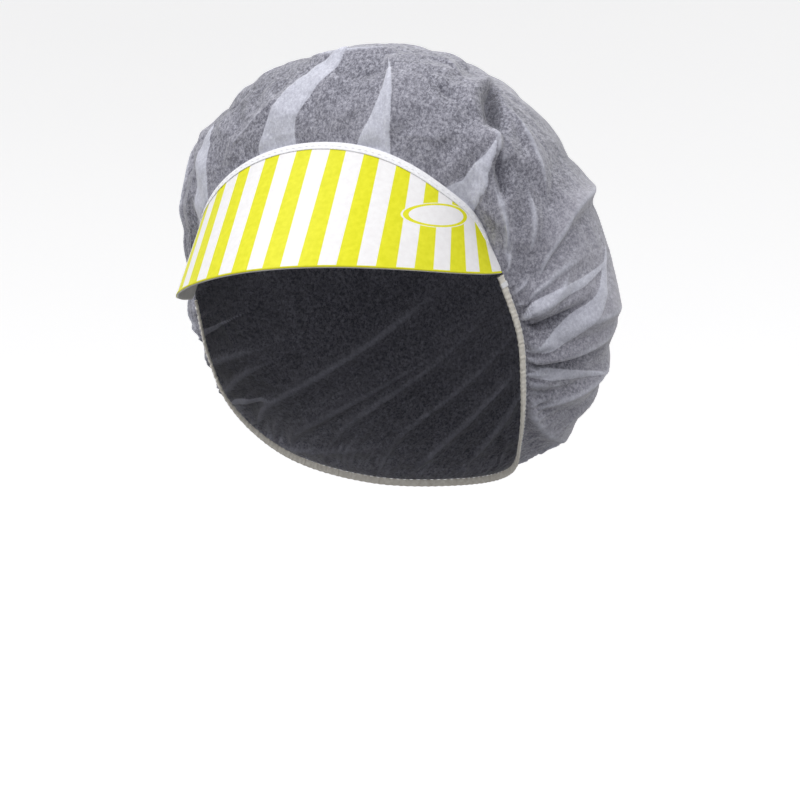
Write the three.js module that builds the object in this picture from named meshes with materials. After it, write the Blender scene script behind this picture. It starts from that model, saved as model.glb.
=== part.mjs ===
// Disposable peaked bouffant cap: a gathered nonwoven crown with an elastic hem,
// sewn to a striped card peak. Millimetres, +Z up, the face looks along -Y and the
// wearer's left is +X. The origin lies on the head's axis, level with the peak's corners.
import * as THREE from 'three';

// Card peak: its free edge, developed flat, and the straight rulings that rise from it.
const PEAK_HALF_LENGTH = 106;
const PEAK_FRONT_Y = -107;
const PEAK_FRONT_Z = 4.5;
const PEAK_EDGE_DIP = 10;
const PEAK_RADIUS = 79;
const PEAK_TIGHTENING = 0.37;
const PEAK_DEPTH = 64.5;
const PEAK_TIP_DEPTH = 3;
const PEAK_SHOULDER = 1.9;
const RULING_LEAN_BACK = 0.69;
const RULING_LEAN_BACK_FALL = 0.52;
const RULING_LEAN_IN = 0.05;
const RULING_LEAN_IN_END = 0.34;
const BOARD_THICKNESS = 0.6;
const PRINT_THICKNESS = 0.2;
const PRINT_GAP = 0.1;
const PEAK_STEPS = 64;

// Seam between peak and crown.
const TAPE_WIDTH = 3.3;
const TAPE_THICKNESS = 0.3;
const TAPE_GAP = 0.4;
const TAPE_END = 0.96;
const SEAM_CLEARANCE = 0.8;
const THREAD_RADIUS = 0.25;
const THREAD_SIDES = 6;

// Crown: a bag with a rounded section at each height, its centre leaning forward as it rises.
const CROWN_THICKNESS = 1.2;
const BAG_HALF_WIDTH = 91;
const BAG_FRONT = 80;
const BAG_BACK = 114;
const BAG_FRONT_POWER = 2.5;
const BAG_UPPER_POWER = 2.3;
const BAG_BELLY_Z = -3;
const BAG_RISE = 108;
const BAG_DROP = 93;
const BAG_CENTRE_Y = 8;
const BAG_LEAN = 0.25;
const BAG_LEAN_FROM_Z = 9;
const PINCH_SHARE = 0.32;
const CROWN_RINGS = 12;
const CROWN_FRONT_COLUMNS = 24;
const CROWN_HEM_COLUMNS = 34;

// Elastic hem: its path on the wearer's left, from the peak's corner to the nape.
const HEM_PATH = [
  [74, -30, -25],
  [70, -20, -46],
  [57, 4, -68],
  [33, 42, -82],
  [0, 58, -85],
];
const HEM_START_GAP = 2.5;
const HEM_STEPS = 60;
const CASING_HEIGHT = 4.4;
const CASING_DEPTH = 2;
const CASING_WALL = 0.4;
const ELASTIC_WIDTH = 2.8;
const ELASTIC_THICKNESS = 0.6;
const BARTACK_LENGTH = 3.6;
const BARTACK_RADIUS = 0.5;

const NONWOVEN = { color: '#dfe0e6', roughness: 0.85, metalness: 0 };
const CARD = { color: '#efeeea', roughness: 0.7, metalness: 0 };
const PRINT = { color: '#e8e628', roughness: 0.35, metalness: 0 };
const RUBBER = { color: '#e9e2cf', roughness: 0.7, metalness: 0 };
const THREAD = { color: '#f3f3f5', roughness: 0.6, metalness: 0 };

const at = (origin, ...moves) => moves.reduce(
  (point, [direction, distance]) => point.addScaledVector(direction, distance),
  origin.clone(),
);
const signedPower = (value, power) => Math.sign(value) * Math.abs(value) ** power;

// ---- closed bodies from rows of sections -------------------------------------------

function closedBody(points, faces) {
  const geometry = new THREE.BufferGeometry();
  geometry.setAttribute(
    'position',
    new THREE.Float32BufferAttribute(points.flatMap((p) => p.toArray()), 3),
  );
  geometry.setIndex(signedVolume(points, faces) < 0 ? faces.map(([a, b, c]) => [a, c, b]).flat()
    : faces.flat());
  geometry.computeVertexNormals();
  return geometry;
}

function signedVolume(points, faces) {
  const cross = new THREE.Vector3();
  return faces.reduce((sum, [a, b, c]) => (
    sum + points[a].dot(cross.crossVectors(points[b], points[c]))), 0);
}

const quad = (a, b, c, d) => [[a, b, c], [a, c, d]];

// Joins sections, each a closed outline whose point i faces point (last - i).
// The two sides are split along the same diagonals, so that layers stay parallel.
function sweep(sections) {
  const size = sections[0].length;
  const faces = [];
  for (let row = 0; row + 1 < sections.length; row += 1) {
    for (let i = 0; i < size; i += 1) {
      const [a, b] = [row * size + i, row * size + ((i + 1) % size)];
      const side = i < size / 2 ? [a, b, b + size, a + size] : [b, b + size, a + size, a];
      faces.push(...quad(...side));
    }
  }
  const last = (sections.length - 1) * size;
  for (let i = 0; i + 1 < size / 2; i += 1) {
    const facing = size - 1 - i;
    faces.push(...quad(i, facing, facing - 1, i + 1));
    faces.push(...quad(last + i, last + i + 1, last + facing - 1, last + facing));
  }
  return closedBody(sections.flat(), faces);
}

// Joins outer and inner outlines into a sleeve that is open at both ends.
function sleeve(outer, inner) {
  const size = outer[0].length;
  const offset = outer.length * size;
  const last = (outer.length - 1) * size;
  const faces = [];
  for (let row = 0; row + 1 < outer.length; row += 1) {
    for (let i = 0; i < size; i += 1) {
      const [a, b] = [row * size + i, row * size + ((i + 1) % size)];
      faces.push(...quad(a, b, b + size, a + size));
      faces.push(...quad(offset + a, offset + a + size, offset + b + size, offset + b));
    }
  }
  for (let i = 0; i < size; i += 1) {
    const next = (i + 1) % size;
    faces.push(...quad(i, offset + i, offset + next, next));
    faces.push(...quad(last + i, last + next, last + offset + next, last + offset + i));
  }
  return closedBody([...outer.flat(), ...inner.flat()], faces);
}

// Round cord along a list of stations; each has a point and two directions across it.
function cordAlong(stations) {
  return sweep(stations.map(({ point, normal, across }) => (
    Array.from({ length: THREAD_SIDES }, (_, i) => {
      const angle = (i + 0.5) * 2 * Math.PI / THREAD_SIDES;
      return at(point, [normal, THREAD_RADIUS * Math.cos(angle)],
        [across, THREAD_RADIUS * Math.sin(angle)]);
    }))));
}

// ---- peak --------------------------------------------------------------------------

// Point of the free edge at a developed distance s from its middle.
function freeEdge(s) {
  const steps = 40;
  const reach = Math.abs(s);
  let heading = 0;
  let x = 0;
  let y = PEAK_FRONT_Y;
  for (let i = 0; i < steps; i += 1) {
    const u = (i + 0.5) / steps * reach / PEAK_HALF_LENGTH;
    const turn = (1 + PEAK_TIGHTENING * u * u) / PEAK_RADIUS * reach / steps;
    x += Math.cos(heading + turn / 2) * reach / steps;
    y += Math.sin(heading + turn / 2) * reach / steps;
    heading += turn;
  }
  const u = reach / PEAK_HALF_LENGTH;
  const z = (1 - u * u) * (PEAK_FRONT_Z - PEAK_EDGE_DIP * u * u);
  return new THREE.Vector3(Math.sign(s) * x, y, z);
}

function rulingDirection(u) {
  const inward = RULING_LEAN_IN * Math.abs(u) + RULING_LEAN_IN_END * Math.abs(u) ** 3;
  const back = RULING_LEAN_BACK * (1 - RULING_LEAN_BACK_FALL * u * u);
  return new THREE.Vector3(-Math.sign(u) * inward, back, 1).normalize();
}

function rulingLength(u) {
  const share = (1 - u * u) * (1 + PEAK_SHOULDER * u ** 8);
  return PEAK_TIP_DEPTH + (PEAK_DEPTH - PEAK_TIP_DEPTH) * share;
}

const seamPoint = (u) => at(freeEdge(u * PEAK_HALF_LENGTH), [rulingDirection(u), rulingLength(u)]);

// Direction of a curve at u, from its points a little to each side.
function tangentOf(curve, u) {
  const reach = 0.002;
  return curve(u + reach).sub(curve(u - reach)).normalize();
}

// Outward normal of the peak on the ruling at u.
function peakNormal(u) {
  const along = tangentOf((v) => freeEdge(v * PEAK_HALF_LENGTH), u);
  return along.cross(rulingDirection(u)).normalize();
}

// Frame on the seam: its point, the outward normal, and the way across towards the crown.
function seamStation(u) {
  const normal = peakNormal(u);
  const across = normal.clone().cross(tangentOf(seamPoint, u)).normalize();
  return { point: seamPoint(u), normal, across };
}

const peakSpan = (limit, steps) => Array.from(
  { length: steps + 1 },
  (_, i) => limit * (2 * i / steps - 1),
);

function peakLayer(back, front) {
  return sweep(peakSpan(1, PEAK_STEPS).map((u) => {
    const bottom = freeEdge(u * PEAK_HALF_LENGTH);
    const top = seamPoint(u);
    const normal = peakNormal(u);
    return [
      at(bottom, [normal, front]),
      at(top, [normal, front]),
      at(top, [normal, back]),
      at(bottom, [normal, back]),
    ];
  }));
}

const BOARD_FACE = BOARD_THICKNESS / 2;
const PRINT_FACE = BOARD_FACE + PRINT_GAP + PRINT_THICKNESS;
const TAPE_FACE = PRINT_FACE + TAPE_GAP + TAPE_THICKNESS;

const peakBoard = () => peakLayer(-BOARD_FACE, BOARD_FACE);
const peakPrint = () => peakLayer(BOARD_FACE + PRINT_GAP, PRINT_FACE);

// Tape folded over the peak's top edge.
function seamTape() {
  const inFront = PRINT_FACE + TAPE_GAP;
  const behind = BOARD_FACE + TAPE_GAP;
  const outline = [
    [TAPE_FACE, -TAPE_WIDTH],
    [TAPE_FACE, TAPE_GAP + TAPE_THICKNESS],
    [-behind - TAPE_THICKNESS, TAPE_GAP + TAPE_THICKNESS],
    [-behind - TAPE_THICKNESS, -TAPE_WIDTH],
    [-behind, -TAPE_WIDTH],
    [-behind, TAPE_GAP],
    [inFront, TAPE_GAP],
    [inFront, -TAPE_WIDTH],
  ];
  return sweep(peakSpan(TAPE_END, PEAK_STEPS).map((u) => {
    const { point, normal, across } = seamStation(u);
    return outline.map(([out, up]) => at(point, [normal, out], [across, up]));
  }));
}

// Lockstitch thread along the middle of the tape.
function seamThread() {
  const out = TAPE_FACE + PRINT_GAP + THREAD_RADIUS;
  return cordAlong(peakSpan(TAPE_END, PEAK_STEPS).map((u) => {
    const { point, normal, across } = seamStation(u);
    return { point: at(point, [normal, out], [across, -TAPE_WIDTH / 2]), normal, across };
  }));
}

// ---- hem ---------------------------------------------------------------------------

const CORNER = seamPoint(1);

function hemCurve() {
  const left = HEM_PATH.map((p) => new THREE.Vector3(...p));
  const right = left.slice(0, -1).map((p) => new THREE.Vector3(-p.x, p.y, p.z));
  const start = new THREE.Vector3(CORNER.x, CORNER.y + HEM_START_GAP, -HEM_START_GAP);
  const end = new THREE.Vector3(-start.x, start.y, start.z);
  return new THREE.CatmullRomCurve3([start, ...left, ...right.reverse(), end]);
}

const HEM = hemCurve();

// Frame on the hem: its point, the outward normal, and the way across towards the crown.
function hemStation(share) {
  const point = HEM.getPointAt(share);
  const along = HEM.getTangentAt(share);
  const outward = new THREE.Vector3(point.x, point.y - BAG_CENTRE_Y, 0).normalize();
  const normal = outward.addScaledVector(along, -outward.dot(along)).normalize();
  return { point, normal, across: along.clone().cross(normal).negate() };
}

const hemStations = (from, to, steps) => Array.from(
  { length: steps + 1 },
  (_, i) => hemStation(from + (to - from) * i / steps),
);

const box = ({ point, normal, across }, thick, high) => [
  at(point, [normal, thick / 2], [across, -high / 2]),
  at(point, [normal, thick / 2], [across, high / 2]),
  at(point, [normal, -thick / 2], [across, high / 2]),
  at(point, [normal, -thick / 2], [across, -high / 2]),
];

function hemCasing() {
  const stations = hemStations(0, 1, HEM_STEPS);
  const inside = [CASING_DEPTH - 2 * CASING_WALL, CASING_HEIGHT - 2 * CASING_WALL];
  return sleeve(
    stations.map((s) => box(s, CASING_DEPTH, CASING_HEIGHT)),
    stations.map((s) => box(s, ...inside)),
  );
}

function elasticBand() {
  const stations = hemStations(0, 1, HEM_STEPS);
  return sweep(stations.map((s) => box(s, ELASTIC_THICKNESS, ELASTIC_WIDTH)));
}

function hemThread() {
  const out = CASING_DEPTH / 2 + PRINT_GAP + THREAD_RADIUS;
  const up = CASING_HEIGHT / 2 - 2 * THREAD_RADIUS;
  return cordAlong(hemStations(0.02, 0.98, HEM_STEPS).map(({ point, normal, across }) => (
    { point: at(point, [normal, out], [across, up]), normal, across })));
}

// Dense bar of stitches across one end of the casing.
function bartack(share) {
  const { point, normal, across } = hemStation(share);
  const along = normal.clone().cross(across);
  const middle = at(point, [normal, CASING_DEPTH / 2 + PRINT_GAP + BARTACK_RADIUS]);
  return sweep([-0.5, 0.5].map((end) => (
    [[1, -1], [1, 1], [-1, 1], [-1, -1]].map(([out, side]) => (
      at(middle, [across, end * BARTACK_LENGTH], [normal, out * BARTACK_RADIUS],
        [along, side * BARTACK_RADIUS]))))));
}

// ---- crown -------------------------------------------------------------------------

// Centre of the bag's section at height z, leaning forward above the belly.
const bagCentreY = (z) => BAG_CENTRE_Y - BAG_LEAN * Math.max(0, z - BAG_LEAN_FROM_Z);

// Point of the bag: turn runs from the face (0) round to the nape, rise from the belly up.
function bagPoint(turn, rise) {
  const upper = rise > 0;
  const power = upper ? 2 / BAG_UPPER_POWER : 1;
  const z = BAG_BELLY_Z + (upper ? BAG_RISE : BAG_DROP) * signedPower(Math.sin(rise), power);
  const girth = Math.cos(rise) ** power;
  const front = Math.cos(turn) > 0;
  const plan = front ? 2 / BAG_FRONT_POWER : 1;
  const x = BAG_HALF_WIDTH * girth * signedPower(Math.sin(turn), plan);
  const reach = (front ? BAG_FRONT : BAG_BACK) * girth * signedPower(Math.cos(turn), plan);
  return new THREE.Vector3(x, bagCentreY(z) - reach, z);
}

// Turn and rise of the bag point level with a point of the rim.
function bagFoot({ x, y, z }) {
  const ahead = bagCentreY(z) - y;
  const power = ahead > 0 ? BAG_FRONT_POWER / 2 : 1;
  const reach = ahead > 0 ? BAG_FRONT : BAG_BACK;
  const turn = Math.atan2(
    signedPower(x / BAG_HALF_WIDTH, power),
    signedPower(ahead / reach, power),
  );
  const height = (z - BAG_BELLY_Z) / (z > BAG_BELLY_Z ? BAG_RISE : BAG_DROP);
  const rise = Math.asin(signedPower(height, z > BAG_BELLY_Z ? BAG_UPPER_POWER / 2 : 1));
  return { turn, rise };
}

// Rim of the crown: over the seam in front, above the casing round the sides and nape.
function crownRim() {
  const out = TAPE_FACE + SEAM_CLEARANCE + CROWN_THICKNESS / 2;
  const over = CASING_HEIGHT / 2 + SEAM_CLEARANCE;
  const front = peakSpan(1, CROWN_FRONT_COLUMNS).map((u) => {
    const { point, normal, across } = seamStation(u);
    return { point: at(point, [normal, out], [across, 1]), normal };
  });
  const hem = hemStations(0, 1, CROWN_HEM_COLUMNS).map(({ point, normal, across }) => (
    { point: at(point, [across, over]), normal }));
  return [...front, ...hem.slice(1, -1)];
}

// Points up one column of the crown's middle surface, from the rim to the top ring.
function crownColumn({ point }) {
  const { turn, rise } = bagFoot(point);
  const pull = point.clone().sub(bagPoint(turn, rise));
  return Array.from({ length: CROWN_RINGS }, (_, ring) => {
    const share = ring / CROWN_RINGS;
    const hold = Math.max(0, 1 - share / PINCH_SHARE) ** 2;
    return at(bagPoint(turn, rise + (Math.PI / 2 - rise) * share), [pull, hold]);
  });
}

function crownShell() {
  const rim = crownRim();
  const columns = rim.map(crownColumn);
  const count = columns.length;
  const top = new THREE.Vector3(0, bagCentreY(BAG_BELLY_Z + BAG_RISE), BAG_BELLY_Z + BAG_RISE);
  const normals = columns.map((column, i) => column.map((_, ring) => {
    if (ring === 0) {
      return rim[i].normal;
    }
    const [left, right] = [columns[(i + count - 1) % count], columns[(i + 1) % count]];
    const up = (column[ring + 1] ?? top).clone().sub(column[ring - 1]);
    return right[ring].clone().sub(left[ring]).cross(up).normalize();
  }));
  const layer = (side) => columns.flatMap((column, i) => column.map((point, ring) => (
    at(point, [normals[i][ring], side * CROWN_THICKNESS / 2]))));
  const up = new THREE.Vector3(0, 0, 1);
  const points = [...layer(1), ...layer(-1),
    at(top, [up, CROWN_THICKNESS / 2]), at(top, [up, -CROWN_THICKNESS / 2])];
  return closedBody(points, crownFaces(count));
}

function crownFaces(count) {
  const inner = count * CROWN_RINGS;
  const [outerTop, innerTop] = [2 * inner, 2 * inner + 1];
  const faces = [];
  for (let i = 0; i < count; i += 1) {
    const [a, b] = [i * CROWN_RINGS, ((i + 1) % count) * CROWN_RINGS];
    for (let ring = 0; ring + 1 < CROWN_RINGS; ring += 1) {
      faces.push(...quad(a + ring, b + ring, b + ring + 1, a + ring + 1));
      faces.push(...quad(inner + a + ring, inner + a + ring + 1,
        inner + b + ring + 1, inner + b + ring));
    }
    const last = CROWN_RINGS - 1;
    faces.push([a + last, b + last, outerTop], [inner + b + last, inner + a + last, innerTop]);
    faces.push(...quad(a, inner + a, inner + b, b));
  }
  return faces;
}

// ---- assembly ----------------------------------------------------------------------

const group = new THREE.Group();

function add(name, geometry, look) {
  const mesh = new THREE.Mesh(geometry, new THREE.MeshStandardMaterial(look));
  mesh.name = name;
  group.add(mesh);
}

add('crown', crownShell(), NONWOVEN);
add('hem_casing', hemCasing(), NONWOVEN);
add('elastic', elasticBand(), RUBBER);
add('hem_thread', hemThread(), THREAD);
add('bartack_left', bartack(0.012), THREAD);
add('bartack_right', bartack(0.988), THREAD);
add('peak_board', peakBoard(), CARD);
add('peak_print', peakPrint(), PRINT);
add('seam_tape', seamTape(), NONWOVEN);
add('seam_thread', seamThread(), THREAD);

export default group;
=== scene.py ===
"""A disposable peaked bouffant cap: a gathered nonwoven crown, an elastic hem and a striped card peak.

Lengths in this script are millimetres until a mesh is made. -Y is the way the face looks.
"""
import math

import bpy
import numpy as np
from mathutils import Matrix, Vector


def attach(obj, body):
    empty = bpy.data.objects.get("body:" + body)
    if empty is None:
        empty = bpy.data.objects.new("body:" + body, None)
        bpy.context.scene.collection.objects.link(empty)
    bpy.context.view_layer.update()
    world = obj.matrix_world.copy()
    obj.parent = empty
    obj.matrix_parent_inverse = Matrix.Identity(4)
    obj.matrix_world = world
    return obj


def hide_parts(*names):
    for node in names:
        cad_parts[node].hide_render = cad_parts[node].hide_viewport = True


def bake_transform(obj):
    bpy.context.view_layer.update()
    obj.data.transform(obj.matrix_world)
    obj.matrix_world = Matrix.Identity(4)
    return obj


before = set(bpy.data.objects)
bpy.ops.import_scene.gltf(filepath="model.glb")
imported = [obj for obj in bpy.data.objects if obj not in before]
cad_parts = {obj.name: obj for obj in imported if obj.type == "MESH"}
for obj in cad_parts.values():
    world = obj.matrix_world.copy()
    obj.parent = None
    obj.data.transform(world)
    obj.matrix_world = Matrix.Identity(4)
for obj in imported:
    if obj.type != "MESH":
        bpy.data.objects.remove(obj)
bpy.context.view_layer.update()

MM = 0.001

# Card peak: its free edge, developed flat, and the straight rulings that rise from it.
PEAK_HALF_LENGTH = 106.0
PEAK_FRONT = (-107.0, 4.5)
PEAK_EDGE_DIP = 10.0
PEAK_RADIUS = 79.0
PEAK_TIGHTENING = 0.37
PEAK_DEPTH = 64.5
PEAK_TIP_DEPTH = 3.0
PEAK_SHOULDER = 1.9
LEAN_BACK = (0.69, 0.52)
LEAN_IN = (0.05, 0.34)
STRIPE_PITCH = 15.75
BOARD_FACE = 0.3
PRINT_BACK = 0.4
PRINT_FACE = 0.6

# Crown: a bag with a rounded section at each height, its centre leaning forward as it rises.
BAG_HALF_WIDTH = 90.0
BAG_FRONT = 79.0
BAG_BACK = 113.0
BAG_FRONT_POWER = 2.5
BAG_UPPER_POWER = 2.3
BAG_BELLY_Z = -3.0
BAG_RISE = 107.0
BAG_DROP = 92.0
BAG_CENTRE_Y = 8.0
BAG_LEAN = 0.25
BAG_LEAN_FROM_Z = 9.0
PINCH_SHARE = 0.32

# Hem: its path on the wearer's left, from the peak's corner to the nape.
HEM_PATH = [(74, -30, -25), (70, -20, -46), (57, 4, -68), (33, 42, -82), (0, 58, -85)]
HEM_START_GAP = 0.9


# ---- small helpers -----------------------------------------------------------------

def unit(v):
    return v / np.maximum(np.linalg.norm(v, axis=-1, keepdims=True), 1e-12)


def signed_power(v, p):
    return np.sign(v) * np.abs(v) ** p


def smooth(x):
    x = np.clip(x, 0, 1)
    return x * x * (3 - 2 * x)


def run_along(line):
    """Length from the start of a line to each of its points."""
    return np.concatenate([[0], np.cumsum(np.linalg.norm(np.diff(line, axis=0), axis=1))])


def interpolate(at, run, values):
    """Each column of values, given along run, read at other lengths."""
    return np.stack([np.interp(at, run, column) for column in values.T], -1)


def mesh_piece(name, points, faces, attributes=None):
    """A mesh object from points in millimetres, with a float attribute for each entry."""
    mesh = bpy.data.meshes.new(name)
    mesh.from_pydata((np.asarray(points, float) * MM).tolist(), [], faces)
    mesh.validate()
    for key, values in (attributes or {}).items():
        layer = mesh.attributes.new(key, "FLOAT", "POINT")
        layer.data.foreach_set("value", np.asarray(values, np.float32).ravel())
    mesh.polygons.foreach_set("use_smooth", [True] * len(mesh.polygons))
    mesh.update()
    piece = bpy.data.objects.new(name, mesh)
    bpy.context.scene.collection.objects.link(piece)
    return piece


def grid_faces(rows, columns, wrap_rows=False, wrap_columns=False):
    """Quads over a grid of points numbered row * columns + column."""
    r = np.arange(rows if wrap_rows else rows - 1)
    c = np.arange(columns if wrap_columns else columns - 1)
    r, c = (g.ravel() for g in np.meshgrid(r, c, indexing="ij"))
    r2, c2 = (r + 1) % rows, (c + 1) % columns
    return np.stack([r * columns + c, r * columns + c2, r2 * columns + c2, r2 * columns + c], -1).tolist()


def face_outward(piece):
    """Turns a closed mesh's faces so that their normals point out."""
    bpy.context.view_layer.objects.active = piece
    bpy.ops.object.select_all(action="DESELECT")
    piece.select_set(True)
    bpy.ops.object.mode_set(mode="EDIT")
    bpy.ops.mesh.select_all(action="SELECT")
    bpy.ops.mesh.normals_make_consistent(inside=False)
    bpy.ops.object.mode_set(mode="OBJECT")
    return piece


# ---- peak geometry -----------------------------------------------------------------

PEAK_NUDGE = 0.002  # Step of u, either way, for the directions along the peak.


def free_edge(u):
    """Points of the peak's free edge; u runs from -1 to 1 along its developed length."""
    t = np.linspace(0, 1.02, 401)
    heading = (t + PEAK_TIGHTENING * t ** 3 / 3) * PEAK_HALF_LENGTH / PEAK_RADIUS
    step = PEAK_HALF_LENGTH * (t[1] - t[0])
    middle = (heading[1:] + heading[:-1]) / 2
    x = np.concatenate([[0], np.cumsum(np.cos(middle) * step)])
    y = np.concatenate([[0], np.cumsum(np.sin(middle) * step)])
    a = np.abs(u)
    z = (1 - a * a) * (PEAK_FRONT[1] - PEAK_EDGE_DIP * a * a)
    return np.stack([np.sign(u) * np.interp(a, t, x), PEAK_FRONT[0] + np.interp(a, t, y), z], -1)


def ruling(u):
    a = np.abs(u)
    inward = LEAN_IN[0] * a + LEAN_IN[1] * a ** 3
    back = LEAN_BACK[0] * (1 - LEAN_BACK[1] * a * a)
    return unit(np.stack([-np.sign(u) * inward, back, np.ones_like(a)], -1))


def ruling_length(u):
    share = (1 - u * u) * (1 + PEAK_SHOULDER * u ** 8)
    return PEAK_TIP_DEPTH + (PEAK_DEPTH - PEAK_TIP_DEPTH) * share


def seam(u):
    return free_edge(u) + ruling(u) * ruling_length(u)[..., None]


def peak_normal(u):
    return unit(np.cross(free_edge(u + PEAK_NUDGE) - free_edge(u - PEAK_NUDGE), ruling(u)))


def seam_frame(u):
    """Points of the seam, the peak's outward normal there, and the way across to the crown."""
    normal = peak_normal(u)
    across = unit(np.cross(normal, unit(seam(u + PEAK_NUDGE) - seam(u - PEAK_NUDGE))))
    return seam(u), normal, across


def evenly(curve, count, limit=1.0):
    """Values of u from -limit to limit that space a curve's points evenly."""
    u = np.linspace(-limit, limit, 801)
    run = run_along(curve(u))
    return np.interp(np.linspace(0, run[-1], count), run, u), run[-1]


# ---- hem geometry ------------------------------------------------------------------

CURVE_STEPS = 120


def catmull_rom(points):
    """A fine centripetal Catmull-Rom line through points, and the length run along it.

    The first three columns are the place. Any more columns are numbers carried along.
    """
    p = np.asarray(points, float)
    p = np.vstack([2 * p[0] - p[1], p, 2 * p[-1] - p[-2]])
    line = []
    for i in range(1, len(p) - 2):
        quad = p[i - 1:i + 3]
        step = np.linalg.norm(np.diff(quad[:, :3], axis=0), axis=1) ** 0.5
        knots = np.concatenate([[0], np.cumsum(step)])
        t = np.linspace(knots[1], knots[2], CURVE_STEPS, endpoint=False)[:, None]
        level = list(quad)
        for span in (1, 2):
            level = [
                ((knots[k + span] - t) * level[k] + (t - knots[k]) * level[k + 1])
                / (knots[k + span] - knots[k])
                for k in range(4 - span)
            ]
        line.append(((knots[2] - t) * level[0] + (t - knots[1]) * level[1]) / (knots[2] - knots[1]))
    line = np.vstack(line + [p[-2][None]])
    return line, run_along(line[:, :3])


def hem_line():
    corner = seam(np.array([1.0]))[0]
    left = [(corner[0], corner[1] + HEM_START_GAP, -HEM_START_GAP)] + HEM_PATH
    right = [(-x, y, z) for x, y, z in left[:-1]]
    return catmull_rom(left + right[::-1])


HEM_POINTS, HEM_RUN = hem_line()
HEM_LENGTH = HEM_RUN[-1]
HEM_NUDGE = 0.004  # Step of t, either way, for the direction along the hem.


def hem(t):
    return interpolate(t * HEM_LENGTH, HEM_RUN, HEM_POINTS)


def hem_frame(t):
    """Points of the hem, its outward normal, and the way across to the crown."""
    along = unit(hem(np.clip(t + HEM_NUDGE, 0, 1)) - hem(np.clip(t - HEM_NUDGE, 0, 1)))
    p = hem(t)
    out = unit(np.stack([p[..., 0], p[..., 1] - BAG_CENTRE_Y, 0 * p[..., 0]], -1))
    normal = unit(out - along * (out * along).sum(-1, keepdims=True))
    return p, normal, -np.cross(along, normal)


# ---- crown geometry ----------------------------------------------------------------
# A spot on the crown is given by its place, in millimetres along the rim from the seam's
# middle towards the wearer's left, and its share of the way up from the rim to the top.

RIM_OFF_SEAM = (0.1, 0.3)
RIM_OFF_HEM = 1.6


def rim_table():
    """Places and points all round the rim: the front's seam, then the hem."""
    u, seam_length = evenly(seam, 300)
    point, normal, across = seam_frame(u)
    front = point + RIM_OFF_SEAM[0] * normal + RIM_OFF_SEAM[1] * across
    t = np.linspace(0, 1, 500)[1:-1]
    point, _, across = hem_frame(t)
    seam_place = np.linspace(-0.5, 0.5, len(u)) * seam_length
    place = np.concatenate([seam_place, seam_length / 2 + t * HEM_LENGTH])
    return place, np.vstack([front, point + RIM_OFF_HEM * across]), seam_length / 2


RIM_PLACE, RIM_POINT, SEAM_HALF = rim_table()
RIM_LENGTH = 2 * SEAM_HALF + HEM_LENGTH


def bag_centre_y(z):
    return BAG_CENTRE_Y - BAG_LEAN * np.maximum(0, z - BAG_LEAN_FROM_Z)


def bag(turn, rise):
    """Points of the bag: turn runs from the face round to the nape, rise from the belly up."""
    upper = rise > 0
    power = np.where(upper, 2 / BAG_UPPER_POWER, 1)
    z = BAG_BELLY_Z + np.where(upper, BAG_RISE, BAG_DROP) * signed_power(np.sin(rise), power)
    girth = np.abs(np.cos(rise)) ** power
    front = np.cos(turn) > 0
    plan = np.where(front, 2 / BAG_FRONT_POWER, 1)
    x = BAG_HALF_WIDTH * girth * signed_power(np.sin(turn), plan)
    reach = np.where(front, BAG_FRONT, BAG_BACK) * girth * signed_power(np.cos(turn), plan)
    return np.stack([x, bag_centre_y(z) - reach, z], -1)


def bag_foot(p):
    """Turn and rise of the bag point level with each point of the rim."""
    x, y, z = p[..., 0], p[..., 1], p[..., 2]
    ahead = bag_centre_y(z) - y
    power = np.where(ahead > 0, BAG_FRONT_POWER / 2, 1)
    reach = np.where(ahead > 0, BAG_FRONT, BAG_BACK)
    turn = np.arctan2(signed_power(x / BAG_HALF_WIDTH, power), signed_power(ahead / reach, power))
    up = z > BAG_BELLY_Z
    height = (z - BAG_BELLY_Z) / np.where(up, BAG_RISE, BAG_DROP)
    rise = np.arcsin(signed_power(height, np.where(up, BAG_UPPER_POWER / 2, 1)))
    return turn, rise


def crown_at(place, share):
    """Points of the smooth crown, before any fold is put into it."""
    foot = [np.interp(place, RIM_PLACE, column, period=RIM_LENGTH) for column in RIM_POINT.T]
    foot = np.stack(foot, -1)
    turn, rise = bag_foot(foot)
    hold = np.maximum(0, 1 - share / PINCH_SHARE) ** 2
    pulled = (foot - bag(turn, rise)) * hold[..., None]
    return bag(turn + 0 * share, rise + (math.pi / 2 - rise) * share) + pulled


# ---- folds -------------------------------------------------------------------------
# A fold follows a line through stations. Each station of a ridge is (place, share, height,
# width of its near side, width of its far side); each station of a band of doubled cloth
# is (place, share, half-width). A ridge of negative height is a crease that sinks in.

FOLD_STATIONS = np.linspace(0, 1, 5)
FOLD_SPACING = 1.2
MIRRORED_SHARE = 0.93
MIRRORED_SIZE = 0.7
MIRRORED_DRIFT = 5


def through(start, middle, end):
    """Stations of a bent line through three spots, each a (place, share) pair."""
    s = FOLD_STATIONS[:, None]
    start, middle, end = (np.array(spot, float) for spot in (start, middle, end))
    return start * (1 - s) * (1 - 2 * s) + 4 * middle * s * (1 - s) + end * s * (2 * s - 1)


def ridge(start, middle, end, rise, left, right):
    """A ridge (a crease, where rise is below nought) that swells, fades and widens as it goes."""
    swell = np.sin(math.pi * FOLD_STATIONS) ** 0.7
    width = np.minimum(1, 0.25 + 1.5 * FOLD_STATIONS)
    return np.column_stack([through(start, middle, end), rise * swell, left * width, right * width])


def band(start, middle, end, *half_widths):
    """A band of doubled cloth with a pointed end. Its half widths are at the four stations before it."""
    return np.column_stack([through(start, middle, end), half_widths + (0,)])


def mirrored(folds):
    """The same folds on the wearer's right, moved a little so that the two sides don't match."""
    mirror = []
    for fold in folds:
        place, share = -fold[:, 0] - MIRRORED_DRIFT, MIRRORED_SHARE * fold[:, 1]
        mirror.append(np.column_stack([place, share, MIRRORED_SIZE * fold[:, 2:]]))
    return mirror


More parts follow.
